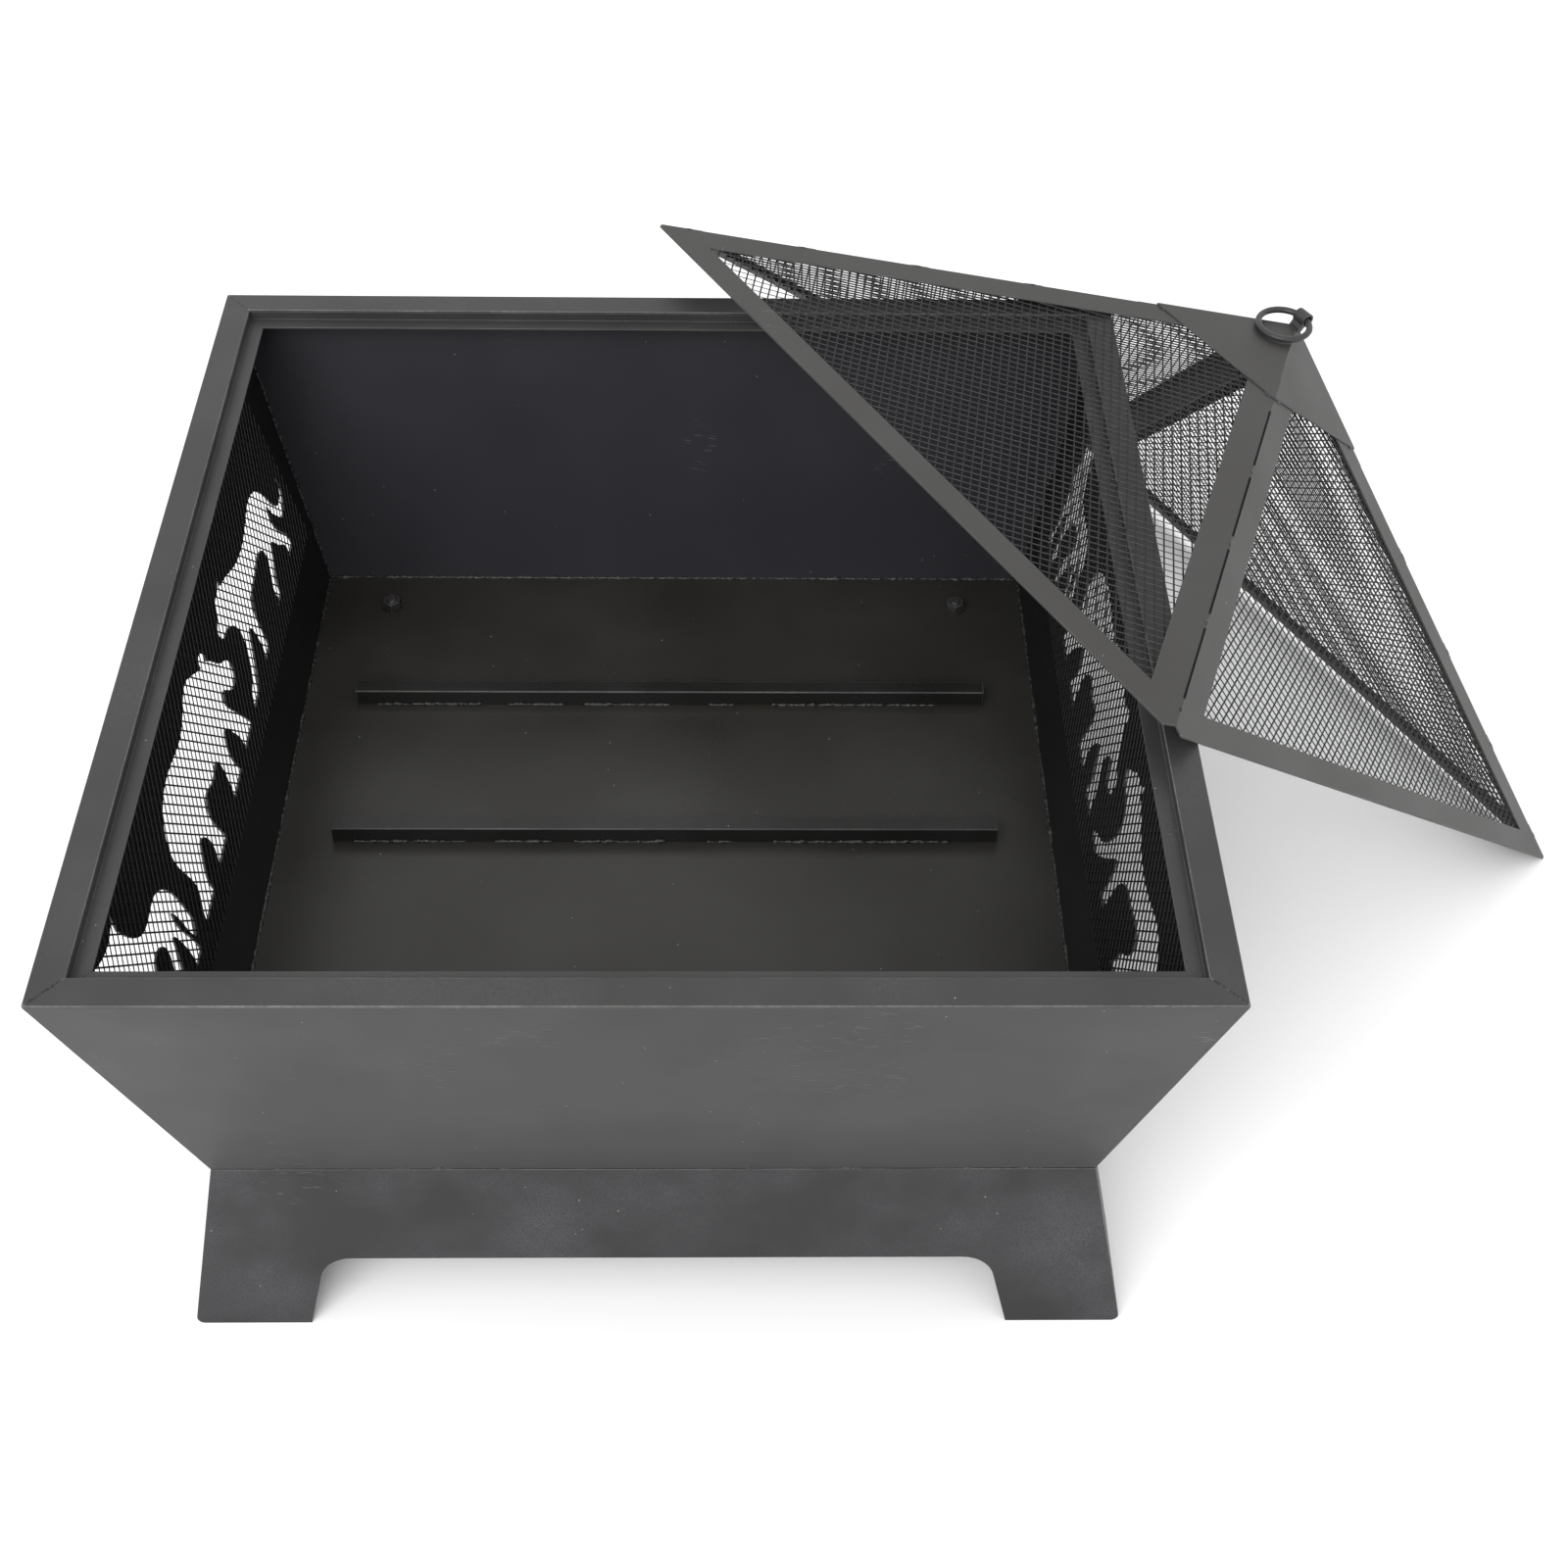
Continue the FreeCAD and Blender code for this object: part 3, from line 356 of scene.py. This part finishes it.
def expanded_mesh(node, body, diamond):
    """Expanded steel mesh over the CAD sheet's outline: two families of straight strands, each tilted
    about its own length as the slitting and stretching leave them."""
    corners, normal = flat_sheet(node)
    edges = [corners[i] - corners[i - 1] for i in range(len(corners))]
    along = max(edges, key=lambda edge: edge.length).normalized()
    if along.z < -0.5 or (abs(along.z) < 0.5 and along.y < 0):
        along = -along
    up = normal.cross(along)
    start = corners[0]
    spread = max((c - start).length for c in corners)
    points, faces = [], []
    for lean in (1, -1):
        tilt = lean * STRAND_TILT
        way = (along * lean * diamond[0] + up * diamond[1]).normalized()
        flat = normal.cross(way)
        wide = flat * math.cos(tilt) + normal * math.sin(tilt)
        thick = normal * math.cos(tilt) - flat * math.sin(tilt)
        count = int(2 * spread / diamond[0])
        for number in range(-count, count + 1):
            root = start + along * (number + STRAND_SHIFT) * diamond[0]
            run = clipped(root, way, corners, normal)
            if not run:
                continue
            base = len(points)
            for distance in run:
                middle = root + way * distance
                for a, b in ((-1, -1), (1, -1), (1, 1), (-1, 1)):
                    points.append(middle + wide * a * STRAND_WIDE / 2 + thick * b * STRAND_THICK / 2)
            faces += band(base, 4)
            faces += [[base + 3, base + 2, base + 1, base], [base + 4, base + 5, base + 6, base + 7]]
    piece = new_piece(node + "_strands", body, "mesh", points, faces, STRANDS)
    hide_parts(node)


def weld(name, body, slot, runs, radius, ripple=2.2 * MM, rough=0.35):
    """Arc-weld beads along straight runs, half sunk in the joint, with the ripples of the stitches."""
    points, faces, sides = [], [], BEAD_SIDES
    for number, (start, end) in enumerate(runs):
        way = (end - start).normalized()
        one = way.orthogonal().normalized()
        other = way.cross(one)
        steps = max(3, int((end - start).length / (ripple / 2.2)))
        base = len(points)
        for step in range(steps + 1):
            share = step / steps
            middle = start.lerp(end, share)
            lump = noise.noise(middle * 260 + Vector((number, 0, 0))) + 0.6 * noise.noise(middle * 70)
            swell = 1 + 0.16 * math.sin(share * (end - start).length / ripple * 2 * math.pi) + rough * lump
            ease = min(1.0, 0.35 + 4 * min(share, 1 - share) * (end - start).length / (6 * radius))
            middle = middle + one * lump * radius * 0.25
            for k in range(sides):
                turn = 2 * math.pi * k / sides
                out = one * math.cos(turn) + other * math.sin(turn)
                points.append(middle + out * radius * swell * ease)
        for step in range(steps):
            faces += band(base + step * sides, sides)
        faces += [[base + k for k in range(sides)][::-1], [base + steps * sides + k for k in range(sides)]]
    piece = new_piece(name, body, slot, points, faces, WELD)
    shade_by_angle(piece.data, 70)


def tacks(name, body, slot, spots, size):
    """Small tack welds: flattened lumps at spots, each given as a point, a direction and a normal."""
    points, faces = [], []
    for number, (spot, way, normal) in enumerate(spots):
        side = normal.cross(way).normalized()
        lump = bmesh.new()
        bmesh.ops.create_icosphere(lump, subdivisions=2, radius=1)
        base = len(points)
        for v in lump.verts:
            swell = 1 + 0.28 * noise.noise(v.co * 1.7 + Vector((number * 3.1, 0, 0)))
            local = way * v.co.x * size[0] + side * v.co.y * size[1] + normal * v.co.z * size[2]
            points.append(spot + local * swell)
        faces += [[base + v.index for v in face.verts] for face in lump.faces]
        lump.free()
    piece = new_piece(name, body, slot, points, faces, WELD)
    shade_by_angle(piece.data, 80)


# ---------------------------------------------------------------- pit


def set_finish(nodes, material):
    """Gives CAD nodes that stay in view a finish."""
    for node in nodes:
        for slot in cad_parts[node].material_slots:
            slot.material = material


def pit_sheets():
    """Walls, rim, ledge, base and log rails, with softened edges."""
    for side in ("front", "back"):
        softened(f"{side}_panel", "pit", "walls", WALL, QUIET_EDGE, WALL_ROUND)
    set_finish(["left_panel", "right_panel"], PIERCED)
    set_finish(["floor_plate"], BOWL)
    for side in SIDES:
        softened(f"rim_{side}", "pit", "rim", RIM, EDGE, RIM_ROUND)
        softened(f"ledge_{side}", "pit", "rim", RIM, QUIET_EDGE, LEDGE_ROUND)
        softened(f"base_{side}", "pit", "base", BASE, EDGE, BASE_ROUND)
    for place in ("front", "middle", "back"):
        softened(f"log_rail_{place}", "pit", "firebox", RAIL, QUIET_EDGE, RAIL_ROUND)


def inner_corner(x_side, y_side, z):
    """The point on the bowl's inner corner line at a height."""
    low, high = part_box("front_panel")
    share = (z - low.z) / (high.z - low.z)
    half = -high.y + share * (high.y - low.y - WALL_GAUGE)
    return Vector((x_side * half, y_side * half, z))


def pit_welds():
    """Seams inside the bowl, round its floor and along the log rails, and at the rim's mitres."""
    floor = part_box("floor_plate")[1].z
    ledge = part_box("ledge_front")[0].z
    corners = [(-1, -1), (1, -1), (1, 1), (-1, 1)]
    upright = [(inner_corner(x, y, floor), inner_corner(x, y, ledge)) for x, y in corners]
    weld("corner_seams", "pit", "walls", upright, CORNER_BEAD)
    around = [(inner_corner(*corners[i - 1], floor), inner_corner(*corners[i], floor)) for i in range(4)]
    weld("floor_seams", "pit", "firebox", around, FLOOR_BEAD, ripple=5.3 * MM, rough=1.3)
    stitches = []
    for place in ("front", "middle", "back"):
        low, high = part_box(f"log_rail_{place}")
        for start, end in RAIL_WELDS:
            ends = [Vector((low.x + share * (high.x - low.x), low.y, low.z)) for share in (start, end)]
            stitches.append(ends)
    weld("rail_welds", "pit", "firebox", stitches, RAIL_BEAD, ripple=3.1 * MM, rough=1.0)
    low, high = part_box("rim_front")
    outer, inner, top = high.x, high.x - (high.y - low.y), high.z
    reaches = (outer - MITRE_IN, inner + MITRE_IN)
    mitres = [[Vector((x * reach, y * reach, top - MITRE_SINK)) for reach in reaches] for x, y in corners]
    weld("rim_mitre_welds", "pit", "rim", mitres, MITRE_BEAD, rough=0.2)


def ring_of(radius, z):
    """One ring of points at a height; the radius is a number or a rule of the turn."""
    turns = [2 * math.pi * step / 48 for step in range(48)]
    sizes = [radius(turn) if callable(radius) else radius for turn in turns]
    return [Vector((math.cos(turn) * size, math.sin(turn) * size, z)) for turn, size in zip(turns, sizes)]


def hexagon(turn):
    """The reach of the nut's hexagon at a turn from its corner."""
    to_flat = (turn - math.pi / 6) % (math.pi / 3) - math.pi / 6
    return NUT_ACROSS / 2 / math.cos(to_flat)


def nut_rows(foot, top):
    """Rings of a hexagon nut from its foot to its bore, with a chamfered top."""
    rim = 0.46 * NUT_ACROSS
    rows = [ring_of(hexagon, foot), ring_of(hexagon, top), ring_of(rim, top)]
    for point in rows[1]:
        point.z -= (point.xy.length - rim) * math.tan(math.radians(30))
    return rows + [ring_of(0.56 * BOLT_SIZE, top), ring_of(0.5 * BOLT_SIZE, top - 0.5 * MM)]


def bolt_rows(foot, thread, tip):
    """Rings of a whole bolt: hexagon head below, plain shank, and a thread up to a chamfered end."""
    head = foot + BOLT_HEAD
    rows = [ring_of(hexagon, foot), ring_of(hexagon, head), ring_of(BOLT_SIZE / 2, head)]
    levels = round((tip - thread) / THREAD_PITCH * 10)
    for level in range(levels + 1):
        height = thread + (tip - thread) * level / levels
        chamfer = max(0.0, 0.8 * MM - (tip - height))

        def threaded(turn):
            phase = ((height - thread) / THREAD_PITCH - turn / (2 * math.pi)) % 1
            return BOLT_SIZE / 2 - THREAD_DEPTH * abs(2 * phase - 1) - chamfer

        rows.append(ring_of(threaded, height))
    return rows


def floor_fasteners():
    """Bolts, and nuts with chamfered corners, at the four corners of the floor."""
    low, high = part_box("floor_nuts")
    foot, tip = (corner.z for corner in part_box("floor_bolts"))
    x, y = high.x - NUT_ACROSS / math.cos(math.pi / 6) / 2, high.y - NUT_ACROSS / 2
    centres = [Vector((i * x, j * y, 0)) for i in (-1, 1) for j in (-1, 1)]
    for name, rows, node in (("chamfered_nuts", nut_rows(low.z, high.z), "floor_nuts"),
                             ("threaded_bolts", bolt_rows(foot, low.z, tip), "floor_bolts")):
        count = len(rows[0])
        points, faces = [], []
        for centre in centres:
            base = len(points)
            points += [centre + point for row in rows for point in row]
            for level in range(base, len(points) - count, count):
                faces += band(level, count)
            if node == "floor_bolts":
                end = len(points)
                faces += [list(range(base, base + count))[::-1], list(range(end - count, end))]
        piece = new_piece(name, "pit", "fasteners", points, faces, RING)
        shade_by_angle(piece.data, 30)
        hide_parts(node)
    set_finish(["floor_washers"], BOWL)


# ---------------------------------------------------------------- spark screen


def screen_hips():
    """The four hip lines of the spark screen's outer surface, each from its base corner to the peak,
    with the outer normals of the two slopes that meet there."""
    planes = []
    inside = sum((sum(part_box(f"lid_frame_{side}"), Vector()) for side in SIDES), Vector()) / 8
    for side in SIDES:
        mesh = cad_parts[f"lid_frame_{side}"].data
        largest = max(mesh.polygons, key=lambda face: face.area)
        normal = largest.normal.copy()
        if normal.dot(largest.center - inside) < 0:
            normal = -normal
        reach = max(normal.dot(v.co) for v in mesh.vertices)
        planes.append((normal * reach, normal))
    axis = sum((normal for _, normal in planes), Vector()).normalized()
    hips = []
    for i in range(4):
        point, way = geometry.intersect_plane_plane(*planes[i], *planes[(i + 1) % 4])
        hips.append((point, way if way.dot(axis) > 0 else -way, planes[i][1], planes[(i + 1) % 4][1]))
    ends = [end for point, way, _, _ in (hips[0], hips[2]) for end in (point, point + way)]
    peak = geometry.intersect_line_line(*ends)[0]
    frames = [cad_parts[f"lid_frame_{side}"].data for side in SIDES]
    foot = min(axis.dot(v.co - peak) for mesh in frames for v in mesh.vertices)
    return [(peak + way * foot / axis.dot(way), peak, one, other) for _, way, one, other in hips], axis


def screen_sheets():
    """Side frames, cap and strap with softened edges, and the strips behind the hip slots in near black,
    painted shade for the slots.
    """
    for side in SIDES:
        softened(f"lid_frame_{side}", "screen", "screen", SCREEN, QUIET_EDGE, FRAME_ROUND)
    softened("lid_cap", "screen", "screen", SCREEN, QUIET_EDGE, CAP_ROUND)
    softened("ring_strap", "screen", "strap", RING, QUIET_EDGE, STRAP_ROUND)
    # the hip strips take the near-black painted shade
    set_finish([f"hip_strip_{side}" for side in SIDES], HIP_SLOT_SHADE)


def screen_tacks():
    """Tack welds on the bridges between the hip slots, and along the cap's lower edge."""
    hips, axis = screen_hips()
    cap = min(axis.dot(v.co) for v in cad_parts["lid_cap"].data.vertices)
    on_hips, on_cap = [], []
    for corner, peak, one, other in hips:
        way = (peak - corner).normalized()
        normal = (one + other).normalized()
        to_cap = (cap - axis.dot(corner)) / axis.dot(way)
        pitch = (to_cap - HIP_SLOT_FIRST) / HIP_SLOT_COUNT
        for number in range(HIP_SLOT_COUNT):
            distance = HIP_SLOT_FIRST + number * pitch - HIP_SLOT_BRIDGE / 2
            on_hips.append((corner + way * distance - normal * TACK_SINK, way, normal))
        for slope, neighbour in ((one, other), (other, one)):
            edge = axis.cross(slope).normalized()
            inwards = edge if edge.dot(neighbour) < 0 else -edge
            on_cap.append((corner + way * to_cap + inwards * CAP_TACK_IN, inwards, slope))
    tacks("hip_tacks", "screen", "screen", on_hips, HIP_TACK)
    tacks("cap_tacks", "screen", "screen", on_cap, CAP_TACK)


def steel_ring():
    """The pull ring: round rod bent to a circle, with the slight swelling of its butt weld."""
    co = np.array([v.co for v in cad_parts["pull_ring"].data.vertices])
    centre = (co.min(0) + co.max(0)) / 2
    _, directions = np.linalg.eigh(np.cov((co - centre).T))
    axis, one, other = (Vector(directions[:, k]) for k in range(3))
    rod = float(np.abs((co - centre) @ directions[:, 0]).max())
    radius = float(np.linalg.norm(co - centre, axis=1).max()) - rod
    centre = Vector(centre)
    around, across = 120, 14
    points, faces = [], []
    for i in range(around):
        turn = 2 * math.pi * i / around
        out = one * math.cos(turn) + other * math.sin(turn)
        off_weld = (turn - 2.2 + math.pi) % (2 * math.pi) - math.pi
        thick = rod * (1 + 0.05 * math.exp(-(off_weld / 0.07) ** 2))
        for j in range(across):
            roll = 2 * math.pi * j / across
            points.append(centre + out * (radius + thick * math.cos(roll)) + axis * thick * math.sin(roll))
        for j in range(across):
            faces.append([i * across + j, ((i + 1) % around) * across + j,
                          ((i + 1) % around) * across + (j + 1) % across, i * across + (j + 1) % across])
    piece = new_piece("round_ring", "ring", "ring", points, faces, RING)
    shade_by_angle(piece.data, 60)
    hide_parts("pull_ring")


# ---------------------------------------------------------------- studio


def studio():
    """A wide pale floor, white surroundings and one broad soft lamp above and in front."""
    low, _ = cad_box
    points = [(x * FLOOR_HALF, y * FLOOR_HALF, low.z) for x, y in ((-1, -1), (1, -1), (1, 1), (-1, 1))]
    mesh = bpy.data.meshes.new("studio_floor")
    mesh.from_pydata([Vector(p) for p in points], [], [[0, 1, 2, 3]])
    floor = bpy.data.objects.new("studio_floor", mesh)
    bpy.context.scene.collection.objects.link(floor)
    paper, tree, _ = new_finish("white_paper")
    shader = add(tree, "ShaderNodeBsdfPrincipled", {"Base Color": srgb("f7f7f7"), "Roughness": 0.9})
    add(tree, "ShaderNodeOutputMaterial", {"Surface": shader.outputs[0]})
    mesh.materials.append(paper)
    world = bpy.data.worlds.new("white_room")
    world.use_nodes = True
    background = world.node_tree.nodes["Background"]
    background.inputs["Color"].default_value = srgb("ffffff")
    background.inputs["Strength"].default_value = ROOM_LIGHT
    bpy.context.scene.world = world
    lamp = bpy.data.lights.new("softbox", "AREA")
    lamp.shape = "RECTANGLE"
    lamp.size, lamp.size_y = SOFTBOX_SIZE
    lamp.energy = SOFTBOX_POWER
    softbox = bpy.data.objects.new("softbox", lamp)
    softbox.location = SOFTBOX_PLACE
    softbox.rotation_euler = (Vector(SOFTBOX_AIM) - softbox.location).to_track_quat("-Z", "Y").to_euler()
    bpy.context.scene.collection.objects.link(softbox)
    bpy.context.scene.view_settings.view_transform = "Standard"


def camera():
    """Seen from above and in front, a little turned and rolled."""
    turn = Matrix.Identity(3)
    for degrees, axis in CAMERA_TURNS:
        turn = turn @ Matrix.Rotation(math.radians(degrees), 3, axis)
    right, forward, up = turn.col
    facing = Matrix((right, up, -forward)).transposed().to_4x4()
    data = bpy.data.cameras.new("camera")
    data.lens, data.sensor_width = CAMERA_LENS, CAMERA_FILM
    data.clip_start, data.clip_end = 0.05, 50
    viewer = bpy.data.objects.new("camera", data)
    viewer.matrix_world = Matrix.Translation(CAMERA_PLACE) @ facing
    bpy.context.scene.collection.objects.link(viewer)
    bpy.context.scene.camera = viewer


camera()
studio()
pit_sheets()
pit_welds()
floor_fasteners()
for side in ("left", "right"):
    expanded_mesh(f"{side}_mesh", "pit", WALL_DIAMOND)
for side in SIDES:
    expanded_mesh(f"lid_mesh_{side}", "screen", SCREEN_DIAMOND)
screen_sheets()
screen_tacks()
steel_ring()

bpy.context.view_layer.update()
